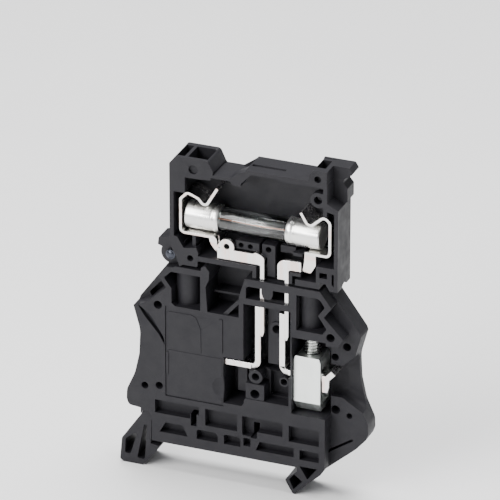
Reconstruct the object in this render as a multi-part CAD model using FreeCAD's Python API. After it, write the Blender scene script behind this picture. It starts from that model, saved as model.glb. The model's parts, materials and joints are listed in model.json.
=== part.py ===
import FreeCAD, Part
import math
import os

# A rail-mounted fuse terminal block for one 6.3 x 32 mm cartridge fuse, in millimetres.
# X runs across the rail, Y from the open front face to the closed back, Z up.
# The shapes are drawn with the front face at Y=0; the last lines move them back by half the
# thickness, so the origin is the middle of the rail seat, on the plane of the rail's flanges.

# ---- driving dimensions -------------------------------------------------------------
PITCH = 8.2                 # thickness of one block along the rail
BACK_WALL = 1.0             # back wall of the housing
STEP_Y = 3.5                # depth of the stepped-back right side of the housing
MIDDLE_X = 5.0              # the housing is mirrored about this plane
HOUSING_TOP = 44.8
PIN = (-12.8, 47.2)         # hinge axis of the fuse lever, along Y
PIN_R = 0.8
PIN_FIT = 0.05              # running clearance of the lever on its pin
KNUCKLE_R = 2.6
KNUCKLE_Y0 = 1.7
KNUCKLE_Y1 = 6.7
LEVER_Y0 = 0.15             # the lever is a little slimmer than the block
LEVER_Y1 = 8.05
LEVER_BACK = 0.65           # back wall of the lever
FOOT_PIVOT = (-18.7, 5.9)   # bending neck of the release foot
SCREW_X = 19.7              # right clamp screw; the left one is its mirror image
SCREW_Y = 4.4
SCREW_R = 2.0               # M4
SCREW_ROOT = 1.58
SCREW_PITCH = 0.7
HEAD_LOW = 33.6             # underside of the screw head
HEAD_R = 2.15
HEAD_ROOM_R = 2.2
GUIDE_R = 2.5               # screwdriver guide bore above the screw head
GUIDE_LOW = 36.8
GUIDE_WALL = 0.4
DRIVER_R = 1.75             # 3.5 mm screwdriver that reaches the left screw past the open lever
BAR = 1.3                   # bus bar thickness
BAR_Z = 22.85               # middle height of the flat part of both bus bars
LEFT_BAR_X = 7.95           # middle of the upright part of the left bus bar
RIGHT_BAR_X = 13.75
LEFT_BAR_TOP = 37.9
RIGHT_BAR_TOP = 37.2        # lower, so that the left blade swings past it
BLADE = 0.9                 # blade thickness
BLADE_GAP = 0.06            # between a blade and its bus bar
BLADE_Y0 = 0.65
BLADE_Y1 = 1.65
BLADE_TIP = 30.9
EYELET = (0.7, 51.6)        # rivet eyelet of the left carrier bar
CLIP = 0.6                  # fuse clip sheet
CLIP_Y0 = 1.1
CLIP_Y1 = 6.9
FUSE = (6.3, 4.1, 56.5)     # middle of the fuse
FUSE_LENGTH = 32.0
CAP_R = 3.15
CAP_LENGTH = 8.0
GLASS_R = 2.8
GLASS_BORE = 2.0
WIRE_R = 0.12

V = FreeCAD.Vector
BACK = PITCH - BACK_WALL
THROUGH = (-1, PITCH + 1)   # a cut right through the block in Y
LEFT_SCREW_X = 2 * MIDDLE_X - SCREW_X


# ---- building blocks ----------------------------------------------------------------
def corner_arc(before, corner, after, radius):
    """Tangent arc that rounds one corner: start, middle and end points."""
    to_before = (V(*before) - V(*corner)).normalize()
    to_after = (V(*after) - V(*corner)).normalize()
    half = to_before.getAngle(to_after) / 2
    setback = radius / math.tan(half)
    bisector = (to_before + to_after).normalize()
    centre = V(*corner) + bisector * (radius / math.sin(half))
    return V(*corner) + to_before * setback, centre - bisector * radius, V(*corner) + to_after * setback


def outline(points, y):
    """Closed wire in the plane Y=y. A point is (x, z) or (x, z, corner radius)."""
    flat = [(p[0], y, p[1]) for p in points]
    radii = [p[2] if len(p) > 2 else 0 for p in points]
    count = len(points)
    edges = []
    ends = []
    for i in range(count):
        if radii[i]:
            ends.append(corner_arc(flat[i - 1], flat[i], flat[(i + 1) % count], radii[i]))
        else:
            ends.append((V(*flat[i]),) * 3)
    for i in range(count):
        start, middle, end = ends[i]
        if radii[i]:
            edges.append(Part.Arc(start, middle, end).toShape())
        following = ends[(i + 1) % count][0]
        if end.distanceToPoint(following) > 1e-6:
            edges.append(Part.makeLine(end, following))
    return Part.Wire(edges)


def prism(points, y0, y1):
    return Part.Face(outline(points, y0)).extrude(V(0, y1 - y0, 0))


def block(x0, x1, z0, z1, y0, y1):
    return Part.makeBox(x1 - x0, y1 - y0, z1 - z0, V(x0, y0, z0))


def disc(x, z, radius, y0, y1):
    return Part.makeCylinder(radius, y1 - y0, V(x, y0, z), V(0, 1, 0))


def post(x, y, radius, z0, z1):
    return Part.makeCylinder(radius, z1 - z0, V(x, y, z0), V(0, 0, 1))


def rod(x0, x1, y, z, radius):
    return Part.makeCylinder(radius, x1 - x0, V(x0, y, z), V(1, 0, 0))


def strip(path, thickness, radius, y0, y1):
    """Bent sheet of one thickness along a path of (x, z) points, wide in Y."""
    points = [V(x, 0, z) for x, z in path]
    steps = [(b - a).normalize() for a, b in zip(points, points[1:])]
    normals = [V(-s.z, 0, s.x) for s in steps]
    sides = []
    for side in (1, -1):
        offset = side * thickness / 2
        edge = [(points[0] + normals[0] * offset, 0)]
        for i in range(1, len(points) - 1):
            mitre = (normals[i - 1] + normals[i]).normalize()
            reach = offset / mitre.dot(normals[i])
            turn = steps[i - 1].x * steps[i].z - steps[i - 1].z * steps[i].x
            inner = turn * side > 0
            bend = radius - thickness / 2 if inner else radius + thickness / 2
            edge.append((points[i] + mitre * reach, bend))
        edge.append((points[-1] + normals[-1] * offset, 0))
        sides.append(edge)
    loop = sides[0] + sides[1][::-1]
    return prism([(p.x, p.z, r) if r > 0.01 else (p.x, p.z) for p, r in loop], y0, y1)


def fuse_all(shapes):
    return shapes[0].multiFuse(shapes[1:]).removeSplitter()


def cut_all(shape, tools):
    return shape.cut(tools).removeSplitter()


def mirrored(shape):
    """The same shape on the other side of the housing's middle plane."""
    return shape.mirror(V(MIDDLE_X, 0, 0), V(1, 0, 0))


def flip(points):
    return [(2 * MIDDLE_X - p[0],) + tuple(p[1:]) for p in reversed(points)]


nodes = {}


def keep(name, shape):
    solids = shape.Solids
    nodes[name] = solids[0] if len(solids) == 1 else Part.makeCompound(solids)


# ---- housing ------------------------------------------------------------------------
# right-hand flank, from the lower corner up to the end of the shoulder
FLANK = [(33.4, 9.6, 2.0), (33.3, 12.0, 3.0), (31.3, 16.5, 8.0), (30.2, 21.5, 8.0), (29.9, 27.5, 8.0),
         (31.5, 33.4)]
SHOULDER = (24.0, 44.2)
FUNNEL_FLOOR = 17.7


def housing_shell():
    """Solid of the whole housing before its chambers are cut."""
    left_flank = flip(FLANK)
    back = [
        (-17.3, 0), (-17.3, 5.2), (-20.0, 5.9), (-20.0, 7.8), (-22.9, 8.1, 1.0),
        *left_flank[::-1], (-21.2, 34.3), (-14.0, 44.2), (-13.2, HOUSING_TOP),
        (23.2, HOUSING_TOP), SHOULDER, (31.2, 34.3), *FLANK[::-1],
        (32.9, 8.1, 1.0), (30.6, 5.4), (23.4, -0.9), (20.2, -3.9), (17.0, -7.2, 0.5),
        (14.9, -3.6, 0.4), (17.75, -1.05), (17.75, 0),
    ]
    front = [
        (-17.3, 0), (-17.3, 5.2), (-20.0, 5.9), (-20.0, 7.8), (-22.9, 8.1, 1.0),
        *left_flank[::-1], (-20.6, 33.6), (-18.0, 35.0), (-13.6, 39.2), (-15.4, 41.5, 0.5),
        (-13.2, HOUSING_TOP),
        (23.0, HOUSING_TOP, 0.5), (25.8, 41.1, 0.5), (24.0, 38.6), (28.6, 33.9), (27.4, 31.9),
        (24.4, 31.6), (24.4, 0.6), (23.4, -0.9), (20.2, -3.9), (17.0, -7.2, 0.5),
        (14.9, -3.6, 0.4), (17.75, -1.05), (17.75, 0),
    ]
    return fuse_all([prism(back, STEP_Y, PITCH), prism(front, 0, STEP_Y)])


def funnel():
    """Wire entry on the right: a channel that opens into a flared mouth."""
    def section(x, z0, z1, y0, y1, radius):
        corners = [(y0, z0), (y1, z0), (y1, z1), (y0, z1)]
        flat = [V(x, y, z) for y, z in corners]
        ends = []
        for i in range(4):
            ends.append(corner_arc(flat[i - 1], flat[i], flat[(i + 1) % 4], radius))
        edges = []
        for i in range(4):
            edges.append(Part.Arc(*ends[i]).toShape())
            edges.append(Part.makeLine(ends[i][2], ends[(i + 1) % 4][0]))
        return Part.Wire(edges)
    throat = section(27.2, FUNNEL_FLOOR, 25.5, 1.7, 6.7, 1.6)
    mouth = section(34.5, 13.2, 33.1, 1.0, 7.35, 2.4)
    flare = Part.makeLoft([throat, mouth], True, True)
    channel = Part.Face(section(22.0, FUNNEL_FLOOR, 25.5, 1.7, 6.7, 1.6)).extrude(V(5.3, 0, 0))
    return fuse_all([flare, channel])


def guide_tube(x):
    """Round column that guides a screwdriver down to a clamp screw."""
    return post(x, SCREW_Y, GUIDE_R + GUIDE_WALL, 33.0, 44.0)


def screw_bore(x):
    shank = post(x, SCREW_Y, SCREW_R + 0.12, 31.0, 34.0)
    head = post(x, SCREW_Y, HEAD_ROOM_R, 33.5, GUIDE_LOW + 1)
    guide = post(x, SCREW_Y, GUIDE_R, GUIDE_LOW, HOUSING_TOP + 1)
    return fuse_all([shank, head, guide])


def grid_pockets():
    """Two rows of shallow pockets above the rail."""
    depth = 2.0
    shallow = [
        [(-16.5, 7.3), (-16.5, 10.6), (-5.8, 10.6), (-5.8, 8.6), (-7.9, 8.6), (-7.9, 7.3)],
        [(-4.3, 6.3), (-4.3, 10.5), (3.4, 10.5), (3.4, 6.3)],
        [(4.6, 5.6, 0.5), (4.6, 10.4), (14.3, 10.4), (14.3, 7.0), (8.2, 7.0), (8.2, 5.6)],
        [(15.8, 6.2), (15.8, 10.1), (23.0, 10.1), (23.0, 6.2)],
        [(-15.4, 2.6), (-14.0, 5.2), (-9.8, 5.2), (-8.6, 2.6)],
        [(-6.4, 2.5), (-6.4, 4.9, 0.6), (-1.3, 4.9, 1.0), (-1.3, 2.5)],
        [(0.2, 2.5), (0.2, 4.9, 0.5), (4.2, 4.9, 0.8), (4.2, 2.5)],
        [(4.9, 3.0), (4.9, 5.0), (6.6, 5.0), (6.6, 3.0)],
        [(7.9, 2.4), (8.8, 4.7), (17.0, 4.7), (17.0, 2.4)],
        [(18.4, 2.1), (18.4, 4.5), (23.0, 4.5), (23.0, 2.1)],
    ]
    pockets = [prism(p, -1, depth) for p in shallow]
    pockets.append(block(-7.8, -6.4, 5.6, 8.7, -1, 6.0))
    pockets.append(block(6.7, 8.1, 5.3, 8.4, -1, 6.0))
    return pockets


def foot_pockets():
    """Two pockets in the fixed right foot."""
    diamond = [(17.1, -1.9), (15.9, -3.4), (17.0, -5.7), (19.1, -3.4)]
    wedge = [(18.4, 0.4), (20.3, -2.6), (22.6, 0.4)]
    return [prism(diamond, -1, 6.0), prism(wedge, -1, 6.0)]


def blade_sweep():
    """Room behind the front skin for the two blades when the lever swings."""
    px, pz = PIN
    inner = math.hypot(LEFT_BAR_X + BAR / 2 - px, 45.3 - pz) - 0.4
    outer = math.hypot(RIGHT_BAR_X + BAR / 2 + BLADE_GAP + BLADE - px, BLADE_TIP - pz) + 0.3
    ring = disc(px, pz, outer, 0.55, 1.75).cut(disc(px, pz, inner, 0, 3))
    window = prism([(8.4, 30.4), (8.4, 46), (24, 46), (24, 36.5), (16.2, 30.4)], 0.5, 1.8)
    return ring.common(window)


def base_housing():
    shell = housing_shell()
    clamp_chamber = block(16.4, 24.5, 13.3, 32.4, -1, BACK)
    left_chamber = block(-14.3, -4.4, 13.3, 32.4, 1.0, BACK)
    seat_outline = [(5.2, 24.1), (5.2, 34.6), (23.9, 34.6), (23.9, 12.0), (9.9, 12.0), (9.9, 24.1)]
    cover_seat = prism(flip(seat_outline), -1, 0.95)
    cavities = [
        clamp_chamber, left_chamber, cover_seat,
        funnel(), mirrored(funnel()),
        # chamber of the two upright bars and of the blades
        prism([(4.9, 24.2), (4.9, 38.5), (16.1, 38.5), (16.1, 22.0), (7.3, 22.0)], -1, BACK),
        block(-5.0, 17.0, 21.9, 24.4, 0.96, 6.8),
        # middle room below the bars
        prism([(0.1, 12.9), (0.1, 22.3), (15.7, 22.3), (15.7, 15.0), (5.3, 15.0), (4.4, 12.9)], -1, 3.4),
        prism([(0.1, 12.9), (0.1, 22.3), (5.0, 22.3), (5.0, 13.6), (4.4, 12.9)], -1, BACK),
        block(10.2, 15.6, 15.4, 22.0, -1, 5.0),
        # window that shows the flat part of the left bus bar
        block(0.1, 7.4, 22.0, 24.25, -1, 1.0),
        # bridge window and bridge shaft
        prism([(5.5, 40.0), (5.5, 43.0, 0.8), (15.7, 43.0), (15.7, 40.0)], -1, BACK),
        prism([(-3.7, 34.9), (-4.1, 41.0), (-3.3, 43.0), (-3.3, 46), (5.6, 46), (4.9, 43.6, 2.0),
               (3.8, 40.0, 2.0), (3.8, 34.9)], -1, BACK),
        # rooms round the two screwdriver guides
        prism([(17.5, 34.4), (17.5, 43.0), (22.9, 43.0, 1.5), (24.2, 41.0, 0.5), (22.6, 38.8),
               (24.6, 35.9, 0.6), (24.2, 34.4)], -1, BACK),
        prism([(-12.3, 35.6), (-11.4, 34.9), (-5.4, 34.9), (-5.4, 43.3), (-12.4, 43.3, 0.4),
               (-14.1, 41.6, 0.4), (-12.3, 39.2)], -1, BACK),
        # slots that lighten the left shoulder
        prism([(-18.4, 34.6), (-19.0, 35.6), (-14.6, 40.6), (-13.4, 39.6)], STEP_Y, 6.2),
        # lens-shaped gap between the left panel and the shoulder
        prism([(-20.6, 34.0), (-17.4, 31.6, 6.0), (-14.2, 26.6, 3.0), (-14.0, 24.8), (-15.4, 27.2, 8.0),
               (-19.0, 31.4, 8.0)], -1, 1.1),
        disc(*PIN, KNUCKLE_R + 0.25, -1, 6.85),
        blade_sweep(),
    ]
    body = cut_all(shell, cavities + grid_pockets() + foot_pockets())
    additions = [
        guide_tube(SCREW_X), guide_tube(LEFT_SCREW_X),
        # column between the bars, with its boss
        block(9.95, 12.75, 22.0, 38.8, 2.4, 7.4),
        disc(12.1, 32.6, 1.75, 2.0, 7.4),
        # wall between the left chamber and the bars, wire guide column, bosses
        block(-4.4, -3.6, 13.0, 21.7, 1.0, 7.4),
        block(2.3, 4.5, 15.0, 22.4, 3.4, 7.4),
        disc(7.7, 20.7, 1.65, 0.3, 7.4), disc(14.5, 20.7, 1.15, 0.3, 7.4),
        block(5.4, 9.8, 14.0, 18.9, 0.2, 7.4),
        block(15.7, 16.4, 13.3, 22.0, 0.0, 7.4),
        # hinge lug at the back
        disc(*PIN, 2.2, 6.95, PITCH),
        prism([(-14.9, 43.6), (-14.9, 46.6), (-10.9, 46.6), (-10.9, 44.0)], 6.95, PITCH),
        # hooked block and strut of the bridge shaft
        prism([(-5.4, 41.6), (-5.2, 45.6, 0.4), (-4.2, 46.2, 0.4), (-3.2, 44.8), (-3.4, 42.6),
               (-4.2, 41.4)], 0, 7.4),
        block(-3.4, 3.9, 38.4, 38.9, 3.6, 7.4),
        prism([(-0.3, 34.8), (0.9, 34.8), (4.0, 38.4), (4.0, 39.6)], 0.4, 2.6),
        # tab that hangs in the bridge window
        prism([(9.2, 43.2), (9.2, 42.0, 1.2), (9.6, 40.6, 0.8), (11.5, 40.6, 0.8), (11.9, 42.0, 1.2),
               (11.9, 43.2)], 0, 0.55),
        # small blocks on the back of the bar chamber
        block(5.7, 6.8, 35.0, 36.1, 5.0, 7.4),
        # boss under each shoulder
        disc(25.6, 33.9, 1.9, 0, 7.4), disc(-15.6, 34.5, 1.8, 0, 7.4),
    ]
    body = fuse_all([body] + additions)
    # small blind holes: x, z, radius, depth of the face that they start from
    holes = [(-15.6, 34.5, 1.0, 0), (25.6, 33.9, 1.0, 0), (28.2, 30.5, 0.95, STEP_Y),
             (25.4, 27.5, 0.9, STEP_Y), (12.1, 32.6, 1.05, 2.0), (7.7, 20.7, 0.9, 0), (14.5, 20.7, 0.8, 0),
             (7.6, 16.4, 1.1, 0), (-18.9, 13.7, 0.85, 0), (-15.4, 14.3, 0.9, 0),
             (25.6, 14.4, 1.05, STEP_Y), (28.9, 13.4, 0.7, STEP_Y)]
    drills = [disc(x, z, r, y - 0.5, y + 3.4) for x, z, r, y in holes]
    bar_room = block(-5.2, 16.8, 22.05, 23.65, 0.96, 6.7)
    upright_room = [block(x0, x1, 22.0, 38.4, 0.6, 6.7) for x0, x1 in ((7.1, 8.75), (12.9, 15.6))]
    cage_rooms = [block(16.45, 23.1, 13.3, 32.4, 0.9, BACK), block(-13.1, -6.45, 13.3, 32.4, 0.96, BACK)]
    bar_ends = [block(23.0, 26.9, 22.1, 25.6, 0.96, 6.62), block(-16.9, -13.0, 22.1, 25.6, 1.0, 6.62)]
    tongue_slot = block(-12.7, -6.9, 11.9, 13.4, 0.9, 1.7)
    rail_slot = block(24.0, 31.0, 3.4, 4.0, STEP_Y - 1, 5.2).rotate(V(24, 0, 3.4), V(0, -1, 0), 33)
    neck = disc(*FOOT_PIVOT, 1.35, *THROUGH)
    pin_hole = disc(*PIN, PIN_R, 6.5, PITCH - 0.4)
    bores = [screw_bore(SCREW_X), screw_bore(LEFT_SCREW_X)]
    rooms = upright_room + cage_rooms + bar_ends + [bar_room, tongue_slot, rail_slot, neck, pin_hole]
    return cut_all(body, drills + bores + rooms + [blade_sweep()])


keep("base_housing", base_housing())


# ---- left chamber cover -------------------------------------------------------------
def left_chamber_cover():
    """L-shaped snap-in panel over the left clamp chamber."""
    gap = 0.08
    front = 0.22
    plate = prism([(-13.9 + gap, 12.0 + gap, 0.3), (-13.9 + gap, 34.6 - gap), (4.8 - gap, 34.6 - gap),
                   (4.8 - gap, 24.2 + gap), (0.1 - gap, 24.2 + gap), (0.1 - gap, 12.0 + gap)], front, 0.92)
    raised = prism([(-13.4, 24.2), (-13.4, 33.3, 0.4), (-6.6, 33.3, 1.6), (-5.4, 30.0, 1.6), (-5.3, 24.2)],
                   0.1, 0.5)
    lower = prism([(-13.2, 12.4, 0.4), (-13.2, 23.7), (-0.3, 23.7), (-0.3, 12.4)], 0.14, 0.5)
    tip_rib = prism([(-13.7, 17.6, 0.2), (-13.7, 23.2, 0.2), (-13.2, 23.2), (-13.2, 17.6)], 0.0, 0.5)
    edge_rib = prism([(-0.9, 25.3), (-0.9, 33.5), (-0.15, 33.5), (-0.15, 25.3)], 0.0, 0.5)
    tongue = block(-12.6, -7.0, 12.0, 12.9, 0.85, 1.6)
    dish = Part.makeSphere(7.0, V(0.1, -6.25, 16.6))
    boss_room = disc(-15.6, 34.5, 1.88, -1, 2)
    body = fuse_all([plate, raised, lower, tip_rib, edge_rib, tongue])
    return cut_all(body, [dish, boss_room])


keep("left_chamber_cover", left_chamber_cover())


# ---- release foot -------------------------------------------------------------------
def release_foot():
    """Flexing foot that grips the left rail flange."""
    px, pz = FOOT_PIVOT
    knuckle = disc(px, pz, 1.25, 0.3, PITCH - 0.3)
    leg = prism([(px - 1.2, pz + 0.3), (-24.8, -0.9, 0.6), (-25.3, -6.3, 0.5), (-24.4, -6.9, 0.4),
                 (-19.6, -6.9, 0.4), (-17.0, -3.6, 0.6), (-15.6, -1.35), (-17.75, -1.05), (-17.75, -0.1),
                 (-17.6, 0.3), (px + 1.2, pz - 0.2)], 0.3, PITCH - 0.3)
    outer_slot = prism([(-20.9, 1.4, 0.3), (-22.7, -4.6, 0.5), (-24.1, -4.7, 0.5), (-23.9, -0.9, 0.5)],
                       *THROUGH)
    inner_slot = prism([(-19.3, 3.6, 0.35), (-21.1, -5.4, 0.5), (-19.2, -5.4, 0.5), (-18.6, 3.4, 0.3)],
                       *THROUGH)
    return cut_all(fuse_all([knuckle, leg]), [outer_slot, inner_slot])


keep("release_foot", release_foot())


# ---- metal parts of the base --------------------------------------------------------
def left_bus_bar():
    upright = [(LEFT_BAR_X, LEFT_BAR_TOP), (LEFT_BAR_X, BAR_Z)]
    end = [(-14.3, BAR_Z), (-15.9, 24.6)]
    bar = strip(upright + end, BAR, 1.5, 1.05, 6.5)
    neck = [block(-13.2, -6.3, 20, 25, 0, 2.1), block(-13.2, -6.3, 20, 25, 5.9, 8)]
    return cut_all(bar, neck)


def right_bus_bar():
    path = [(RIGHT_BAR_X, RIGHT_BAR_TOP), (RIGHT_BAR_X, BAR_Z), (24.3, BAR_Z), (25.9, 24.6)]
    bar = strip(path, BAR, 1.5, 1.05, 6.5)
    neck = [block(16.3, 23.2, 20, 25, 0, 2.1), block(16.3, 23.2, 20, 25, 5.9, 8)]
    flap = prism([(23.3, 19.5), (23.3, 23.2), (24.9, 23.2), (24.9, 21.0), (24.5, 19.5)], 1.05, 1.65)
    return fuse_all([cut_all(bar, neck), flap])


keep("left_bus_bar", left_bus_bar())
keep("right_bus_bar", right_bus_bar())


def clamp_cage(x):
    """Square steel cage that the screw pulls up against the bus bar."""
    half, low, high = 3.15, 13.8, 27.5
    shell = block(x - half, x + half, low, high, 1.0, 7.0)
    window = block(x - half - 1, x + half + 1, 16.0, 24.4, 1.9, 6.1)
    thread = post(x, SCREW_Y, SCREW_R + 0.05, 16.5, 30)
    wedge = [(0, 16.2), (1.0, 16.2), (2.6, 13.7), (0, 13.7), (0, 16.2)]
    low_edge = Part.Face(Part.makePolygon([V(x - 5, y, z) for y, z in wedge])).extrude(V(10, 0, 0))
    corners = []
    for side in (1, -1):
        edge = x + side * half
        corners.append(prism([(edge, 13.0), (edge, 15.0), (edge - side * 0.6, 13.0)], *THROUGH))
        corners.append(prism([(edge, 28.0), (edge, 26.4), (edge - side * 0.5, 28.0)], *THROUGH))
    return cut_all(shell, [window, thread, low_edge] + corners)


def clamp_screw(x):
    """M4 screw with a slotted head; its lower end bears on the bus bar."""
    low = BAR_Z + BAR / 2 + 0.02
    core = post(x, SCREW_Y, SCREW_ROOT, low, HEAD_LOW)
    flank = SCREW_PITCH * 0.4
    crests = []
    z = low + 0.9
    while z < HEAD_LOW - 2 * SCREW_PITCH:
        crest_low, crest_high = z + flank, z + SCREW_PITCH * 0.5
        crests.append(Part.makeCone(SCREW_ROOT, SCREW_R, flank, V(x, SCREW_Y, z)))
        crests.append(post(x, SCREW_Y, SCREW_R, crest_low, crest_high))
        crests.append(Part.makeCone(SCREW_R, SCREW_ROOT, flank, V(x, SCREW_Y, crest_high)))
        z += SCREW_PITCH
    head = post(x, SCREW_Y, HEAD_R, HEAD_LOW, HEAD_LOW + 2.6)
    slot = block(x - 3, x + 3, 35.0, 37, SCREW_Y - 0.4, SCREW_Y + 0.4)
    return cut_all(fuse_all([core, head] + crests), [slot])


for side, x in (("left", LEFT_SCREW_X), ("right", SCREW_X)):
    keep(f"{side}_clamp_cage", clamp_cage(x))
    keep(f"{side}_clamp_screw", clamp_screw(x))


# ---- fuse lever ---------------------------------------------------------------------
def hinge_pin():
    shaft = disc(*PIN, PIN_R, 1.3, PITCH - 0.4)
    head = disc(*PIN, 1.15, 0.7, 1.35)
    dome = Part.makeSphere(1.6, V(PIN[0], 1.95, PIN[1])).common(disc(*PIN, 0.9, 0, 1.0))
    return fuse_all([shaft, head, dome])


keep("hinge_pin", hinge_pin())


def lever_body():
    """Swinging fuse carrier: a shallow tray that is open at the front."""
    y0, y1 = LEVER_Y0, LEVER_Y1
    wall_y = y1 - LEVER_BACK
    back = prism([(-12.7, 50.6), (-12.7, 69.6, 1.2), (-11.3, 71.8, 0.6), (-3.6, 71.8, 1.0), (-2.3, 69.0),
                  (-2.0, 68.6), (2.0, 68.6), (4.0, 70.0), (5.6, 71.2), (20.4, 71.2), (21.0, 73.9),
                  (24.4, 73.9), (24.4, 65.4), (27.1, 64.4), (27.1, 45.3), (6.9, 45.3), (6.9, 47.0),
                  (-5.9, 47.0), (-6.2, 45.5), (-9.6, 45.5), (-10.2, 47.2), (-10.2, 49.8)], wall_y, y1)
    left_wall = block(-12.7, -11.7, 50.4, 69, y0, y1)
    left_block = prism([(-12.7, 63.2), (-12.7, 69.9, 1.2), (-11.2, 71.8, 0.8), (-3.6, 71.8, 1.2),
                        (-2.3, 69.4), (-2.7, 67.9), (-4.6, 67.1), (-9.0, 67.0), (-9.0, 63.2)], y0, 1.3)
    left_top = prism([(-12.7, 69.0), (-12.7, 69.9), (-11.2, 71.8, 0.8), (-3.6, 71.8, 1.2), (-2.3, 69.0),
                      (-3.0, 67.2), (-11.6, 67.2)], y0, y1)
    ledge = block(-2.9, 3.4, 67.9, 68.6, y0, y1)
    tab = prism([(1.6, 68.6), (2.1, 67.1, 0.4), (4.2, 66.9, 0.3), (4.5, 69.3), (5.9, 71.2), (4.0, 70.2)],
                y0, 3.6)
    ramp = prism([(3.2, 67.9), (3.2, 68.6), (5.6, 71.2), (6.6, 71.2), (6.6, 70.2), (4.4, 67.9)], y0, y1)
    top = block(5.4, 24.4, 70.3, 71.2, y0, y1)
    lip = block(13.2, 20.4, 69.9, 70.5, y0, 1.6)
    tower = prism([(20.3, 69.9), (20.3, 72.6, 0.4), (21.2, 73.9, 0.4), (24.4, 73.9), (24.4, 69.9)], y0, 7.2)
    upper_right = block(23.6, 24.5, 63.2, 71.0, y0, y1)
    boss = disc(22.4, 66.9, 1.8, y0, 2.2)
    boss_web = block(22.4, 24.0, 65.2, 68.6, y0, 2.2)
    shoulder = prism([(23.6, 65.8), (24.5, 66.4), (27.1, 65.0), (27.1, 63.9), (23.6, 64.6)], y0, y1)
    lower_right = block(26.2, 27.1, 45.2, 64.6, y0, y1)
    grip = prism([(24.0, 64.6), (24.0, 73.9), (28.2, 73.9, 0.5), (29.0, 72.6, 0.4), (28.0, 71.6, 0.3),
                  (26.9, 71.2, 0.8), (26.8, 70.1, 0.6), (27.8, 68.9), (27.8, 65.9), (26.4, 64.2)],
                 PITCH / 2, y1)
    floor = [
        block(-6.1, 7.9, 47.0, 48.2, y0, y1),
        block(7.0, 7.9, 45.3, 48.2, y0, 7.6),
        block(26.2, 27.1, 45.2, 54.0, y0, y1),
    ]
    ribs = [
        prism([(-9.7, 45.5, 0.3), (-9.7, 49.6), (-6.4, 50.2), (-5.9, 49.0), (-6.1, 45.5, 0.3)], y0, 4.2),
        prism([(-12.7, 50.2), (-12.7, 52.4), (-10.9, 52.2), (-9.2, 49.4), (-9.6, 45.4), (-10.4, 45.0),
               (-11.2, 47.2)], y0, KNUCKLE_Y1),
        block(-7.6, -6.8, 49.4, 52.7, 1.0, 7.6),
        block(2.6, 8.1, 51.2, 53.2, 1.5, 7.6),
        block(8.7, 11.8, 50.0, 53.2, 1.75, 7.6),
        block(9.9, 11.8, 45.5, 53.2, 1.75, 7.6),
        block(12.6, 16.2, 51.4, 53.1, 3.0, 7.6),
        block(16.0, 18.2, 51.6, 52.4, 1.8, 7.6),
        prism([(15.6, 45.4), (15.6, 48.2, 0.5), (18.4, 48.2), (18.4, 47.5), (16.4, 47.5), (16.4, 45.4)],
              y0, 7.6),
        block(17.1, 22.8, 45.3, 46.8, y0, 7.6),
        block(22.0, 25.7, 46.8, 50.8, y0, 7.6),
        block(25.0, 27.0, 49.4, 50.8, y0, 7.6),
        prism([(24.2, 47.0), (25.7, 47.0), (26.5, 46.0), (26.5, 45.2), (25.2, 45.2)], y0, 7.6),
    ]
    knuckle = disc(*PIN, KNUCKLE_R, KNUCKLE_Y0, KNUCKLE_Y1)
    # meets the housing's left shoulder when the lever is fully open
    stop = prism([(-16.2, 48.75), (-16.0, 50.45, 0.2), (-12.9, 51.1), (-11.0, 51.1), (-11.0, 48.0),
                  (-15.0, 48.3)], KNUCKLE_Y0, KNUCKLE_Y1)
    web = block(-13.0, -9.6, 45.4, 50.6, KNUCKLE_Y0, KNUCKLE_Y1)
    walls = [back, left_wall, left_top, ledge, ramp, top, lip, upper_right, shoulder, lower_right]
    blocks = [left_block, tab, tower, boss, boss_web, grip, knuckle, stop, web]
    shapes = walls + blocks + floor + ribs
    body = fuse_all(shapes)
    marker_cells = [block(-11.0, -9.3, 68.4, 73, 1.0, 6.6), block(-8.5, -3.9, 68.4, 73, 1.0, 6.6)]
    grip_window = block(21.3, 23.4, 71.3, 75, 2.1, 6.1)
    top_slot = block(5.8, 13.7, 69, 72, 2.9, 3.8)
    square_hole = block(22.8, 24.6, 48.1, 49.4, -1, 4.0)
    # small blind holes: x, z, radius, depth of the bottom
    holes = [(-7.0, 69.2, 1.1, 0.8), (22.3, 71.9, 0.8, 1.6), (22.4, 66.9, 0.95, 5.0),
             (3.8, 52.1, 0.6, 4.0), (6.0, 52.1, 0.6, 4.0), (10.2, 52.0, 0.7, 4.0), (-7.8, 47.4, 0.75, 3.0)]
    drills = [disc(x, z, r, -0.5, y) for x, z, r, y in holes]
    pin_bore = disc(*PIN, PIN_R + PIN_FIT, -1, 7)
    head_room = disc(*PIN, 1.3, -1, 1.5)
    lug_room = disc(*PIN, 2.45, 6.8, 9)
    corner = prism([(-20, 40), (-20, 50.3), (-12.8, 50.3), (-10.4, 47.2), (-9.9, 44), (-12, 40)], 6.8, 9)
    # with the lever fully open this groove faces the left guide and lets a screwdriver past
    reach = LEFT_SCREW_X - PIN[0]
    driver_groove = Part.makeCylinder(DRIVER_R + 0.1, 46, V(-16, SCREW_Y, PIN[1] - reach), V(1, 0, 0))
    windows = marker_cells + [grip_window, top_slot, square_hole, driver_groove]
    hinge_rooms = [pin_bore, head_room, lug_room, corner]
    return cut_all(body, windows + hinge_rooms + drills)


keep("lever_body", lever_body())


def left_fuse_clip():
    path = [(-1.7, 65.0), (-4.6, 60.0), (-6.2, 61.9), (-8.8, 62.9), (-10.45, 61.2), (-10.45, 53.05),
            (-2.1, 53.05), (-2.1, 51.2)]
    band = strip(path, CLIP, 0.9, CLIP_Y0, CLIP_Y1)
    tab = prism([(-4.3, 53.0), (-4.0, 50.9, 2.0), (-2.5, 49.0, 1.0), (-1.4, 48.75), (-1.8, 53.0)], 2.4, 3.0)
    return fuse_all([band, tab])


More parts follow.
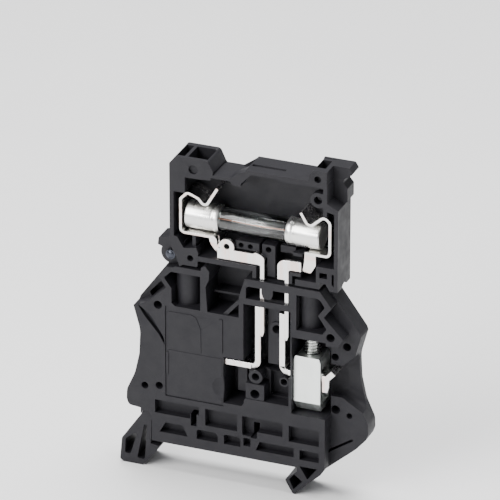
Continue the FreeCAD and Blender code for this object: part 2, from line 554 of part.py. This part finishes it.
def right_fuse_clip():
    path = [(18.0, 62.7), (19.9, 59.4), (23.5, 62.6), (24.85, 61.3), (24.85, 53.05), (19.4, 53.05)]
    band = strip(path, CLIP, 1.1, CLIP_Y0, CLIP_Y1)
    tab = prism([(19.0, 53.3), (21.5, 53.3), (21.6, 50.4, 0.8), (20.4, 48.3, 0.6), (18.5, 48.6),
                 (18.9, 51.0)], CLIP_Y0, BLADE_Y1)
    return fuse_all([band, tab])


keep("left_fuse_clip", left_fuse_clip())
keep("right_fuse_clip", right_fuse_clip())


def blade(x0, y0, y1):
    """Upright contact blade with a tapered tip, its left face at x0."""
    top = 48.8
    return prism([(x0, top), (x0 + BLADE, top), (x0 + BLADE, BLADE_TIP + 1.0),
                  (x0 + BLADE * 0.6, BLADE_TIP), (x0 + BLADE * 0.2, BLADE_TIP),
                  (x0, BLADE_TIP + 0.8)], y0, y1)


def left_carrier_bar():
    x0 = LEFT_BAR_X + BAR / 2 + BLADE_GAP
    plate = prism([(-1.5, 48.4), (-1.5, 50.9, 0.3), (-0.9, 50.9), (6.9, 50.9), (7.5, 51.3, 0.4),
                   (8.9, 50.8, 0.3), (x0 + BLADE, 50.2, 0.5), (x0 + BLADE, 47.6), (x0, 47.6),
                   (x0, 48.4, 0.3)], BLADE_Y0, BLADE_Y1)
    eyelet = disc(*EYELET, 1.75, BLADE_Y0, BLADE_Y1)
    bar = fuse_all([plate, eyelet, blade(x0, BLADE_Y0, BLADE_Y1)])
    return cut_all(bar, [disc(*EYELET, 0.7, *THROUGH)])


def right_carrier_bar():
    x0 = RIGHT_BAR_X + BAR / 2 + BLADE_GAP
    plate = prism([(12.7, 45.8), (12.7, 50.6, 1.8), (18.3, 50.8), (18.3, 48.4),
                   (x0 + BLADE, 48.4, 0.5), (x0 + BLADE, 45.2), (x0, 45.2), (x0, 45.8)],
                  BLADE_Y0, BLADE_Y1)
    return fuse_all([plate, blade(x0, BLADE_Y0, BLADE_Y1)])


keep("left_carrier_bar", left_carrier_bar())
keep("right_carrier_bar", right_carrier_bar())


# ---- cartridge fuse -----------------------------------------------------------------
def fuse_cap(outer_x, inward):
    """Drawn end cap; inward is +1 or -1 along X."""
    x0, x1 = sorted((outer_x, outer_x + inward * CAP_LENGTH))
    floor_x = outer_x + inward * 0.5
    cup = rod(x0, x1, FUSE[1], FUSE[2], CAP_R)
    rim = [e for e in cup.Edges if e.Closed and abs(e.CenterOfMass.x - outer_x) < 0.01]
    cup = cup.makeFillet(0.45, rim)
    hollow0, hollow1 = sorted((floor_x, outer_x + inward * (CAP_LENGTH + 1)))
    return cup.cut(rod(hollow0, hollow1, FUSE[1], FUSE[2], GLASS_R + 0.02))


left_end = FUSE[0] - FUSE_LENGTH / 2
right_end = FUSE[0] + FUSE_LENGTH / 2
SOLDER = 1.2
keep("fuse_left_cap", fuse_cap(left_end, 1))
keep("fuse_right_cap", fuse_cap(right_end, -1))
glass = rod(left_end + 0.55, right_end - 0.55, FUSE[1], FUSE[2], GLASS_R)
keep("fuse_glass_tube", glass.cut(rod(left_end, right_end, FUSE[1], FUSE[2], GLASS_BORE)))
for side, x0 in (("left", left_end + 0.55), ("right", right_end - 0.55 - SOLDER)):
    keep(f"fuse_{side}_solder", rod(x0, x0 + SOLDER, FUSE[1], FUSE[2], GLASS_BORE - 0.02))
keep("fuse_wire", rod(left_end + 0.55 + SOLDER, right_end - 0.55 - SOLDER, FUSE[1], FUSE[2], WIRE_R))


os.makedirs("parts", exist_ok=True)
for name, shape in nodes.items():
    shape.translate(V(0, -PITCH / 2, 0))
    shape.exportStep(f"parts/{name}.step")
    print(name, shape.isValid(), len(shape.Solids), round(shape.Volume, 1))
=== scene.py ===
import json
import math

import bpy
from mathutils import Matrix, Vector


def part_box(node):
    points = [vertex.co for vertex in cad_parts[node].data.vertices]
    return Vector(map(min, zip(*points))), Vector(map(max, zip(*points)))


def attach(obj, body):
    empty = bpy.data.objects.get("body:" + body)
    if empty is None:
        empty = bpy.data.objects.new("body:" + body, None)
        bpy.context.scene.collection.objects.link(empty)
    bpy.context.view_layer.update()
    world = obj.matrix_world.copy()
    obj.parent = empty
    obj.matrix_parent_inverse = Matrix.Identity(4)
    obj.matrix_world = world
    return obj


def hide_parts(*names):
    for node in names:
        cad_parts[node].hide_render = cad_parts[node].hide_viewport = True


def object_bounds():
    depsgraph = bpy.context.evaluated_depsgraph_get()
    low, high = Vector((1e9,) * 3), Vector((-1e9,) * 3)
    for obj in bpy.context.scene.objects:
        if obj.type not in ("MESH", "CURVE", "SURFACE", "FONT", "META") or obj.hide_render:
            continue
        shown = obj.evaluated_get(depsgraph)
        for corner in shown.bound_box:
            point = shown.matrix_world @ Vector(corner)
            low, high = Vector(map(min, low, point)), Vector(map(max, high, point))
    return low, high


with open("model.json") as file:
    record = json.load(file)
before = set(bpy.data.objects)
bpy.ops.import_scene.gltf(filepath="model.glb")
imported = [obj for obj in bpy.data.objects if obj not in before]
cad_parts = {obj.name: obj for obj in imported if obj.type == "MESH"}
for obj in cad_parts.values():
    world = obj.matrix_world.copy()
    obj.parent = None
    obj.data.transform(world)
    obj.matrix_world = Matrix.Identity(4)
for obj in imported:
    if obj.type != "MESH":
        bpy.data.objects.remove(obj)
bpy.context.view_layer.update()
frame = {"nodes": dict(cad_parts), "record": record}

MM = 0.001
NODES = frame["nodes"]

# ---- camera: the photograph's long lens, from the right and above -------------------
AZIMUTH = 0.378             # radians round from straight in front
ELEVATION = 0.4554
LENS = 396.0                # mm on a 36 mm sensor
DISTANCE = 1.2107
TARGET = Vector((6.51, -4.1, 52.1)) * MM


def add_camera():
    ca, sa = math.cos(AZIMUTH), math.sin(AZIMUTH)
    ce, se = math.cos(ELEVATION), math.sin(ELEVATION)
    right = Vector((ca, sa, 0))
    forward = Vector((-sa * ce, ca * ce, -se))
    up = right.cross(forward)
    data = bpy.data.cameras.new("camera")
    data.lens = LENS
    data.sensor_width = 36.0
    data.clip_start = 0.05
    data.clip_end = 20.0
    camera = bpy.data.objects.new("camera", data)
    bpy.context.scene.collection.objects.link(camera)
    turn = Matrix((right, up, -forward)).transposed().to_4x4()
    camera.matrix_world = Matrix.Translation(TARGET - forward * DISTANCE) @ turn
    bpy.context.scene.camera = camera


# ---- materials ----------------------------------------------------------------------
class Nodes:
    """A short way to write a material's node tree."""

    def __init__(self, name):
        self.material = bpy.data.materials.new(name)
        self.material.use_nodes = True
        self.tree = self.material.node_tree
        self.tree.nodes.clear()
        self.output = self.tree.nodes.new("ShaderNodeOutputMaterial")
        self.shader = self.tree.nodes.new("ShaderNodeBsdfPrincipled")
        self.link(self.shader.outputs[0], self.output.inputs[0])
        self.place = self.add("ShaderNodeTexCoord").outputs["Object"]

    def add(self, kind, **values):
        node = self.tree.nodes.new(kind)
        for key, value in values.items():
            if hasattr(node, key):
                setattr(node, key, value)
            else:
                node.inputs[key].default_value = value
        return node

    def link(self, a, b):
        self.tree.links.new(a, b)

    def noise(self, scale, detail=3.0, rough=0.55, stretch=None):
        node = self.add("ShaderNodeTexNoise", Scale=scale, Detail=detail, Roughness=rough)
        vector = self.place
        if stretch:
            mapping = self.add("ShaderNodeMapping")
            mapping.inputs["Scale"].default_value = stretch
            self.link(self.place, mapping.inputs["Vector"])
            vector = mapping.outputs[0]
        self.link(vector, node.inputs["Vector"])
        return node.outputs["Fac"]

    def ramp(self, source, stops):
        node = self.add("ShaderNodeValToRGB")
        ramp = node.color_ramp
        while len(ramp.elements) < len(stops):
            ramp.elements.new(0.5)
        for element, (place, colour) in zip(ramp.elements, stops):
            element.position = place
            element.color = colour if len(colour) == 4 else (*colour, 1)
        self.link(source, node.inputs["Fac"])
        return node.outputs["Color"]

    def mix(self, factor, a, b):
        node = self.add("ShaderNodeMix", data_type="RGBA")
        for socket, value in ((node.inputs[0], factor), (node.inputs[6], a), (node.inputs[7], b)):
            if isinstance(value, (tuple, float, int)):
                is_rgb = isinstance(value, tuple) and len(value) == 3
                socket.default_value = (*value, 1) if is_rgb else value
            else:
                self.link(value, socket)
        return node.outputs[2]

    def spread(self, source, low, high, low_in=0.0, high_in=1.0):
        node = self.add("ShaderNodeMapRange")
        for key, value in (("From Min", low_in), ("From Max", high_in), ("To Min", low), ("To Max", high)):
            node.inputs[key].default_value = value
        self.link(source, node.inputs["Value"])
        return node.outputs[0]

    def maths(self, operation, a, b=None):
        node = self.add("ShaderNodeMath", operation=operation)
        for socket, value in zip(node.inputs, (a, b)):
            if isinstance(value, (float, int)):
                socket.default_value = value
            elif value is not None:
                self.link(value, socket)
        return node.outputs[0]

    def bump(self, height, strength, distance):
        node = self.add("ShaderNodeBump", Strength=strength, Distance=distance)
        self.link(height, node.inputs["Height"])
        self.link(node.outputs[0], self.shader.inputs["Normal"])

    def colour(self, source):
        self.link(source, self.shader.inputs["Base Color"])

    def rough(self, source):
        self.link(source, self.shader.inputs["Roughness"])


def moulded_plastic(name, dark, light, rough_low, rough_high):
    """Glass-filled polyamide: spark-eroded grain with faint flow clouds and rubbed patches."""
    m = Nodes(name)
    clouds = m.noise(160.0, 4.0)
    grain = m.noise(9000.0, 2.0, 0.6)
    fine = m.noise(2600.0, 3.0, 0.6)
    base = m.ramp(clouds, [(0.3, dark), (0.72, light)])
    speck = m.ramp(grain, [(0.35, tuple(c * 0.82 for c in dark)), (0.7, tuple(c * 1.16 for c in light))])
    m.colour(m.mix(0.4, base, speck))
    m.rough(m.spread(m.noise(420.0, 4.0), rough_low, rough_high, 0.3, 0.7))
    m.shader.inputs["Specular IOR Level"].default_value = 0.26
    m.shader.inputs["IOR"].default_value = 1.52
    height = m.maths("ADD", m.maths("MULTIPLY", grain, 0.6), m.maths("MULTIPLY", fine, 0.5))
    m.bump(height, 0.5, 0.000009)
    return m.material


def metal(name, tint, shade, rough_low, rough_high, grain_stretch, cut_edge=None, cut_axis=1):
    """Plated sheet metal with rolled grain, faint stains and, where it is stamped, bare cut edges."""
    m = Nodes(name)
    stains = m.noise(260.0, 5.0)
    grain = m.noise(1500.0, 3.0, 0.6, grain_stretch)
    colour = m.mix(m.spread(grain, 0.0, 0.5, 0.3, 0.75), m.ramp(stains, [(0.3, shade), (0.65, tint)]), tint)
    if cut_edge:
        normal = m.add("ShaderNodeNewGeometry").outputs["True Normal"]
        split = m.add("ShaderNodeSeparateXYZ")
        m.link(normal, split.inputs[0])
        facing = m.maths("ABSOLUTE", split.outputs[cut_axis])
        on_edge = m.spread(facing, 0.0, 1.0, 0.9, 0.98)
        wear = m.noise(700.0, 3.0, 0.55, grain_stretch)
        patches = m.ramp(wear, [(0.46, (0, 0, 0)), (0.62, (0.6, 0.6, 0.6))])
        patchy = m.maths("MULTIPLY", on_edge, patches)
        colour = m.mix(patchy, colour, cut_edge)
    m.colour(colour)
    m.shader.inputs["Metallic"].default_value = 1.0
    m.rough(m.spread(m.noise(900.0, 4.0, 0.6, grain_stretch), rough_low, rough_high, 0.3, 0.7))
    m.bump(grain, 0.2, 0.000008)
    return m.material


def clear_glass(name):
    m = Nodes(name)
    streaks = m.noise(1400.0, 2.0, 0.5, (0.02, 1.0, 1.0))
    m.rough(m.spread(streaks, 0.02, 0.14, 0.3, 0.7))
    m.colour(m.ramp(streaks, [(0.3, (0.93, 0.97, 0.955)), (0.7, (0.985, 0.995, 0.99))]))
    m.shader.inputs["Transmission Weight"].default_value = 1.0
    m.shader.inputs["IOR"].default_value = 1.55
    m.bump(streaks, 0.05, 0.00001)
    return m.material


def pale_floor(name):
    m = Nodes(name)
    m.colour(m.ramp(m.noise(14.0, 2.0), [(0.3, (0.90, 0.90, 0.905)), (0.7, (0.93, 0.93, 0.93))]))
    m.shader.inputs["Roughness"].default_value = 0.75
    return m.material


def make_materials():
    long_x = (0.08, 1.0, 1.0)
    long_z = (1.0, 1.0, 0.08)
    copper = (0.90, 0.66, 0.58)
    return {
        "housing": moulded_plastic("housing_plastic", (0.0105, 0.0100, 0.0128), (0.0150, 0.0144, 0.0176),
                                   0.46, 0.64),
        "lever": moulded_plastic("lever_plastic", (0.0100, 0.0095, 0.0122), (0.0144, 0.0138, 0.0170),
                                 0.44, 0.62),
        "plated_copper": metal("tin_plated_bar", (0.92, 0.91, 0.90), (0.80, 0.78, 0.76), 0.16, 0.32,
                               long_z, copper),
        "clip_copper": metal("tin_plated_clip", (0.91, 0.90, 0.88), (0.78, 0.76, 0.73), 0.14, 0.30,
                             long_x, copper),
        "zinc_steel": metal("zinc_plate", (0.90, 0.94, 0.91), (0.82, 0.86, 0.83), 0.30, 0.46, long_z),
        "screw_steel": metal("zinc_screw", (0.72, 0.73, 0.71), (0.50, 0.51, 0.50), 0.18, 0.3, long_z),
        "pin_steel": metal("blackened_pin", (0.060, 0.064, 0.078), (0.030, 0.032, 0.040), 0.22, 0.36, long_x),
        "cap_nickel": metal("nickel_cap", (0.86, 0.86, 0.84), (0.76, 0.76, 0.74), 0.24, 0.36,
                            (1.0, 0.1, 0.1)),
        "glass": clear_glass("fuse_glass"),
        "fuse_wire": metal("copper_wire", (0.85, 0.42, 0.30), (0.62, 0.28, 0.18), 0.2, 0.35, long_x),
        "solder": metal("solder", (0.62, 0.62, 0.63), (0.48, 0.48, 0.5), 0.35, 0.55, long_x),
    }


MATERIALS = make_materials()


def paint(obj, slot):
    obj.data.materials.clear()
    obj.data.materials.append(MATERIALS[slot])


# ---- CAD nodes: real materials and eased edges --------------------------------------
EASE = {"housing": 0.18, "lever": 0.18, "plated_copper": 0.07, "clip_copper": 0.06, "zinc_steel": 0.16,
        "screw_steel": 0.04, "pin_steel": 0.05, "cap_nickel": 0.05}


def ease_edges(obj, width):
    """Small rounds on the sharp edges, as moulding and stamping leave them."""
    weld = obj.modifiers.new("weld", "WELD")
    weld.merge_threshold = 0.000002
    bevel = obj.modifiers.new("ease", "BEVEL")
    bevel.width = width * MM
    bevel.segments = 2
    bevel.limit_method = "ANGLE"
    bevel.angle_limit = math.radians(32)
    bevel.use_clamp_overlap = True
    bevel.harden_normals = False
    for polygon in obj.data.polygons:
        polygon.use_smooth = True
    smooth = obj.modifiers.new("normals", "WEIGHTED_NORMAL")
    smooth.keep_sharp = True


def dress_cad_nodes():
    for row in frame["record"]["subparts"]:
        obj = NODES[row["node"]]
        slot = row["material_slot"]
        paint(obj, slot)
        if slot in EASE:
            ease_edges(obj, EASE[slot])


# ---- new detailed pieces ------------------------------------------------------------
def mesh_piece(name, verts, faces, body, slot, nodes=(), sharp=40.0):
    """A closed mesh in metres that rides on a CAD body."""
    mesh = bpy.data.meshes.new(name)
    mesh.from_pydata([tuple(v) for v in verts], [], faces)
    mesh.update()
    piece = bpy.data.objects.new(name, mesh)
    bpy.context.scene.collection.objects.link(piece)
    for polygon in mesh.polygons:
        polygon.use_smooth = True
    mesh.set_sharp_from_angle(angle=math.radians(sharp))
    mesh.materials.append(MATERIALS[slot])
    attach(piece, body)
    if nodes:
        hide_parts(*nodes)
    return piece


def lathe(profile, place, axis, steps=96):
    """Vertices and faces of a profile [(along, radius)] turned round an axis; radius 0 closes an end."""
    along, side, across = axis
    verts, rings, faces = [], [], []
    for distance, radius in profile:
        centre = place + along * distance
        if radius == 0:
            rings.append([len(verts)])
            verts.append(centre)
            continue
        ring = []
        for k in range(steps):
            turn = 2 * math.pi * k / steps
            ring.append(len(verts))
            verts.append(centre + side * (radius * math.cos(turn)) + across * (radius * math.sin(turn)))
        rings.append(ring)
    for lower, upper in zip(rings, rings[1:]):
        for k in range(steps):
            after = (k + 1) % steps
            if len(lower) == 1:
                faces.append((lower[0], upper[after], upper[k]))
            elif len(upper) == 1:
                faces.append((lower[k], lower[after], upper[0]))
            else:
                faces.append((lower[k], lower[after], upper[after], upper[k]))
    return verts, faces


ALONG_X = (Vector((1, 0, 0)), Vector((0, 1, 0)), Vector((0, 0, 1)))
BACK_X = (Vector((-1, 0, 0)), Vector((0, 0, 1)), Vector((0, 1, 0)))
UP_Z = (Vector((0, 0, 1)), Vector((1, 0, 0)), Vector((0, 1, 0)))


def middle_of(node):
    low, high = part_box(node)
    return (low + high) / 2


def add_cap(side):
    """Drawn cap with a rounded rim, a rolled crimp ring and a dimpled end face."""
    node = f"fuse_{side}_cap"
    low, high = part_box(node)
    middle = middle_of(node)
    radius = (high.z - low.z) / 2
    length = high.x - low.x
    axis = ALONG_X if side == "left" else BACK_X
    start = Vector((low.x if side == "left" else high.x, middle.y, middle.z))
    wall = 0.33 * MM
    rim = 0.45 * MM
    crimp_half = 0.5 * MM
    crimp_slope = 0.28 * MM
    r = radius
    outer = [(0.10 * MM, 0), (0.10 * MM, 0.9 * MM), (0.0, 1.3 * MM)]
    for k in range(7):
        turn = math.pi / 2 * k / 6
        outer.append((rim * (1 - math.cos(turn)), r - rim * (1 - math.sin(turn))))
    crimp = length - 1.6 * MM
    outer += [(crimp - crimp_half, r), (crimp - crimp_slope, r - 0.05 * MM), (crimp, r - 0.10 * MM),
              (crimp + crimp_slope, r - 0.05 * MM), (crimp + crimp_half, r),
              (length - 0.06 * MM, r), (length, r - 0.05 * MM)]
    inner = [(length, r - wall), (0.5 * MM, r - wall), (0.5 * MM, 0)]
    verts, faces = lathe(outer + inner, start, axis)
    mesh_piece(f"cap_{side}", verts, faces, "fuse", "cap_nickel", [node])


def add_glass():
    """Drawn tube with fire-polished ends."""
    low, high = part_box("fuse_glass_tube")
    middle = middle_of("fuse_glass_tube")
    radius = (high.z - low.z) / 2
    bore = 2.0 * MM
    length = high.x - low.x
    lip = 0.18 * MM
    profile = [(lip, bore), (0, bore + lip), (0, radius - lip), (lip, radius), (length - lip, radius),
               (length, radius - lip), (length, bore + lip), (length - lip, bore), (lip, bore)]
    verts, faces = lathe(profile, Vector((low.x, middle.y, middle.z)), ALONG_X)
    ring = 96
    last = len(verts) - ring
    verts = verts[:last]
    faces = [tuple(v if v < last else v - last for v in face) for face in faces]
    mesh_piece("glass", verts, faces, "fuse", "glass", ["fuse_glass_tube"], 60.0)


def add_wire():
    """Thin element that sags slightly between the solder beads."""
    low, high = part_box("fuse_wire")
    middle = middle_of("fuse_wire")
    radius = (high.z - low.z) / 2
    rows, steps = 40, 14
    verts, faces = [], []
    for i in range(rows + 1):
        t = i / rows
        sag = 0.30 * MM * math.sin(math.pi * t) + 0.05 * MM * math.sin(5 * math.pi * t)
        drift = 0.12 * MM * math.sin(2 * math.pi * t)
        for k in range(steps):
            turn = 2 * math.pi * k / steps
            verts.append((low.x + (high.x - low.x) * t, middle.y + drift + radius * math.cos(turn),
                          middle.z - sag + radius * math.sin(turn)))
    for i in range(rows):
        for k in range(steps):
            a, b = i * steps + k, i * steps + (k + 1) % steps
            faces.append((a, b, b + steps, a + steps))
    faces.append(tuple(range(steps))[::-1])
    faces.append(tuple(rows * steps + k for k in range(steps)))
    mesh_piece("wire", verts, faces, "fuse", "fuse_wire", ["fuse_wire"])


def add_solder(side):
    """Solder bead with a domed inner face."""
    node = f"fuse_{side}_solder"
    low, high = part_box(node)
    middle = middle_of(node)
    r = (high.z - low.z) / 2
    depth = high.x - low.x
    axis = ALONG_X if side == "left" else BACK_X
    start = Vector((low.x if side == "left" else high.x, middle.y, middle.z))
    profile = [(0, 0), (0, r), (0.25 * depth, r)]
    for k in range(1, 9):
        turn = math.pi / 2 * k / 8
        profile.append((0.25 * depth + 0.75 * depth * math.sin(turn), r * math.cos(turn) if k < 8 else 0))
    verts, faces = lathe(profile, start, axis, 48)
    mesh_piece(f"bead_{side}", verts, faces, "fuse", "solder", [node])


THREAD_STEPS = 64
THREAD_PITCH = 0.7 * MM     # M4
THREAD_ROOT = 1.46 * MM
THREAD_CREST = 1.99 * MM
HEAD_HEIGHT = 2.6 * MM


def add_screw(side):
    """M4 clamp screw: a true helical thread, a turned point, and a chamfered slotted head."""
    node = f"{side}_clamp_screw"
    low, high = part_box(node)
    middle = middle_of(node)
    pitch, root, crest = THREAD_PITCH, THREAD_ROOT, THREAD_CREST
    head_r = (high.x - low.x) / 2
    head_low = high.z - HEAD_HEIGHT
    start, end = low.z + 0.7 * MM, head_low - 0.5 * MM
    section = [(0.04, 0.0), (0.40, 1.0), (0.48, 1.0), (0.84, 0.0)]
    turns = (end - start) / pitch - 1
    count = int(turns * THREAD_STEPS)
    verts, faces = [], []
    for i in range(count + 1):
        turn = 2 * math.pi * i / THREAD_STEPS
        base = start + pitch * i / THREAD_STEPS
        grow = min(1.0, i / (0.6 * THREAD_STEPS), (count - i) / (0.6 * THREAD_STEPS))
        for along, lift in section:
            r = root - 0.02 * MM + (crest - root + 0.02 * MM) * lift * grow
            verts.append((middle.x + r * math.cos(turn), middle.y + r * math.sin(turn), base + pitch * along))
    size = len(section)
    for i in range(count):
        for k in range(size):
            a, b = i * size + k, i * size + (k + 1) % size
            faces.append((a, a + size, b + size, b))
    faces.append(tuple(range(size)))
    faces.append(tuple(count * size + k for k in range(size))[::-1])
    mesh_piece(f"thread_{side}", verts, faces, f"{side}_screw", "screw_steel", [], 25.0)

    profile = [(0, 0), (0, 1.05 * MM), (0.12 * MM, 1.2 * MM), (0.6 * MM, root), (head_low - low.z, root),
               (head_low - low.z, head_r - 0.1 * MM), (head_low - low.z + 0.1 * MM, head_r),
               (high.z - low.z - 0.22 * MM, head_r), (high.z - low.z - 0.06 * MM, head_r - 0.12 * MM),
               (high.z - low.z, head_r - 0.3 * MM), (high.z - low.z, 0)]
    verts, faces = lathe(profile, Vector((middle.x, middle.y, low.z)), UP_Z)
    shank = mesh_piece(f"shank_{side}", verts, faces, f"{side}_screw", "screw_steel", [node])
    cut_slot(shank, middle, high.z, head_r)


def cut_slot(shank, middle, top, head_r):
    """Straight driver slot across the head."""
    half, depth = 0.4 * MM, 1.2 * MM
    reach = head_r * 1.5
    outline = ((-1, -1), (1, -1), (1, 1), (-1, 1))
    corners = [(sx * reach, sy * half, z) for z in (top - depth, top + MM) for sx, sy in outline]
    mesh = bpy.data.meshes.new("slot_tool")
    mesh.from_pydata([(middle.x + x, middle.y + y, z) for x, y, z in corners], [],
                     [(3, 2, 1, 0), (4, 5, 6, 7), (0, 1, 5, 4), (1, 2, 6, 5), (2, 3, 7, 6), (3, 0, 4, 7)])
    tool = bpy.data.objects.new("slot_tool", mesh)
    bpy.context.scene.collection.objects.link(tool)
    modifier = shank.modifiers.new("slot", "BOOLEAN")
    modifier.operation = "DIFFERENCE"
    modifier.solver = "EXACT"
    modifier.object = tool
    bpy.context.view_layer.update()
    graph = bpy.context.evaluated_depsgraph_get()
    finished = bpy.data.meshes.new_from_object(shank.evaluated_get(graph))
    shank.modifiers.remove(modifier)
    shank.data = finished
    finished.set_sharp_from_angle(angle=math.radians(35))
    bpy.data.objects.remove(tool)


def add_pieces():
    for side in ("left", "right"):
        add_cap(side)
        add_solder(side)
        add_screw(side)
    add_glass()
    add_wire()


# ---- stage --------------------------------------------------------------------------
def area_light(name, place, aim, size, power, colour=(1, 1, 1)):
    data = bpy.data.lights.new(name, "AREA")
    data.shape = "RECTANGLE"
    data.size = size[0]
    data.size_y = size[1]
    data.energy = power
    data.color = colour
    light = bpy.data.objects.new(name, data)
    bpy.context.scene.collection.objects.link(light)
    light.location = place
    light.rotation_euler = (Vector(aim) - Vector(place)).to_track_quat("-Z", "Y").to_euler()


def add_stage():
    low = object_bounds()[0][2]
    mesh = bpy.data.meshes.new("floor")
    reach = 3.0
    mesh.from_pydata([(-reach, -reach, low), (reach, -reach, low), (reach, reach, low), (-reach, reach, low)],
                     [], [(0, 1, 2, 3)])
    floor = bpy.data.objects.new("floor", mesh)
    bpy.context.scene.collection.objects.link(floor)
    mesh.materials.append(pale_floor("floor"))
    middle = (0.005, 0.0, 0.035)
    area_light("key", (-0.32, -0.40, 0.50), middle, (0.36, 0.36), 4.0, (1.0, 0.99, 0.98))
    area_light("front", (-0.12, -0.70, 0.16), middle, (0.40, 0.30), 0.6, (0.97, 0.98, 1.0))
    area_light("strip", (-0.26, -0.62, 0.34), middle, (0.34, 0.08), 2.4)
    area_light("top", (0.02, 0.12, 0.70), middle, (0.50, 0.40), 8.5)
    world = bpy.data.worlds.new("studio")
    bpy.context.scene.world = world
    world.use_nodes = True
    world.node_tree.nodes["Background"].inputs[0].default_value = (0.93, 0.94, 0.96, 1)
    world.node_tree.nodes["Background"].inputs[1].default_value = 0.38


add_camera()
dress_cad_nodes()
add_pieces()
add_stage()
